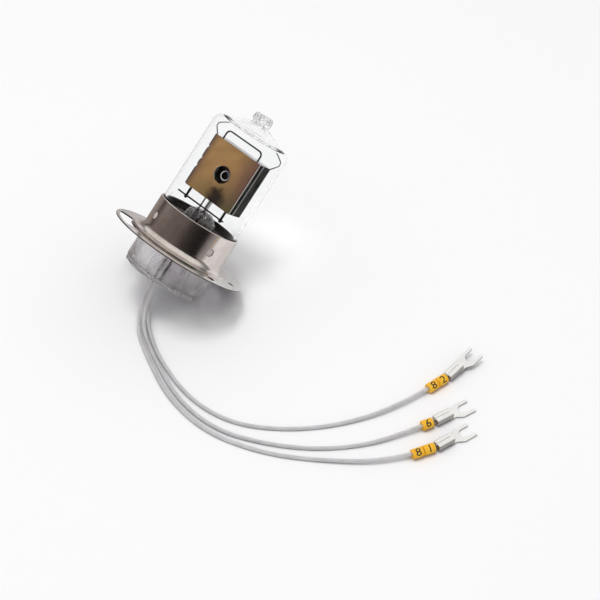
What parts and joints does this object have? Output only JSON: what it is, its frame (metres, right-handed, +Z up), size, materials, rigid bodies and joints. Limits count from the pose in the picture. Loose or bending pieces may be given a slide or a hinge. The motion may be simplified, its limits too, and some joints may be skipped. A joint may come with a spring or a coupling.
{
  "type": "deuterium lamp",
  "caption": "Clear bulb deuterium lamp with a shielded discharge box, a round mounting flange with collar, and insulated leads with number markers and fork terminals.",
  "frame": {"origin": "on the floor, at the middle of the lamp's box without its leads, as it lies at rest on the flange's rim and the edge of its glass base", "axes": "+Z up; +X the way the lamp's axis leans, which rises 43.7 degrees from the floor towards the bulb's tip; +Y across the lamp, level"},
  "size_m": [0.0932, 0.1449, 0.0625],
  "materials": {
    "glass_clear": "clear and polished",
    "nickel_polished": "polished nickel plate",
    "nickel_flange": "bright nickel plate",
    "cement": "matte, fired",
    "shield_tinted": "satin, heat tinted straw to brown",
    "electrode_dark": "dark, satin",
    "electrode_sheet": "satin",
    "molybdenum": "bright turned rim",
    "wire_dark": "drawn wire, dark",
    "tungsten": "coated coil",
    "alumina": "matte",
    "lead_insulation": "translucent grey white over strands",
    "tinned_strand": "tinned strands",
    "marker_yellow": "soft, printed with plain numbers",
    "terminal_tin": "bright tin plate"
  },
  "bodies": {
    "root": {"bulb_envelope": "glass_clear", "glass_stem": "glass_clear", "cement_ring": "cement", "mounting_sleeve": "nickel_polished", "mounting_flange": "nickel_flange", "front_shield": "shield_tinted", "cathode_frame": "electrode_dark", "aperture_plate": "electrode_sheet", "aperture_funnel": "molybdenum", "rear_housing": "electrode_dark", "anode_plate": "electrode_sheet", "anode_rod": "wire_dark", "anode_ceramic_tube": "alumina", "cathode_filament": "tungsten", "lead_in_left": "wire_dark", "lead_in_right": "wire_dark", "cross_wire": "wire_dark", "support_leg_left": "wire_dark", "support_leg_right": "wire_dark", "top_hoop": "wire_dark", "spring_left": "wire_dark", "spring_right": "wire_dark", "lead_1": "lead_insulation", "conductor_1": "tinned_strand", "fork_terminal_1": "terminal_tin", "lead_2": "lead_insulation", "conductor_2": "tinned_strand", "fork_terminal_2": "terminal_tin", "lead_3": "lead_insulation", "conductor_3": "tinned_strand", "fork_terminal_3": "terminal_tin", "marker_1a": "marker_yellow", "marker_1b": "marker_yellow", "marker_2a": "marker_yellow", "marker_3a": "marker_yellow", "marker_3b": "marker_yellow"}
  },
  "joints": []
}
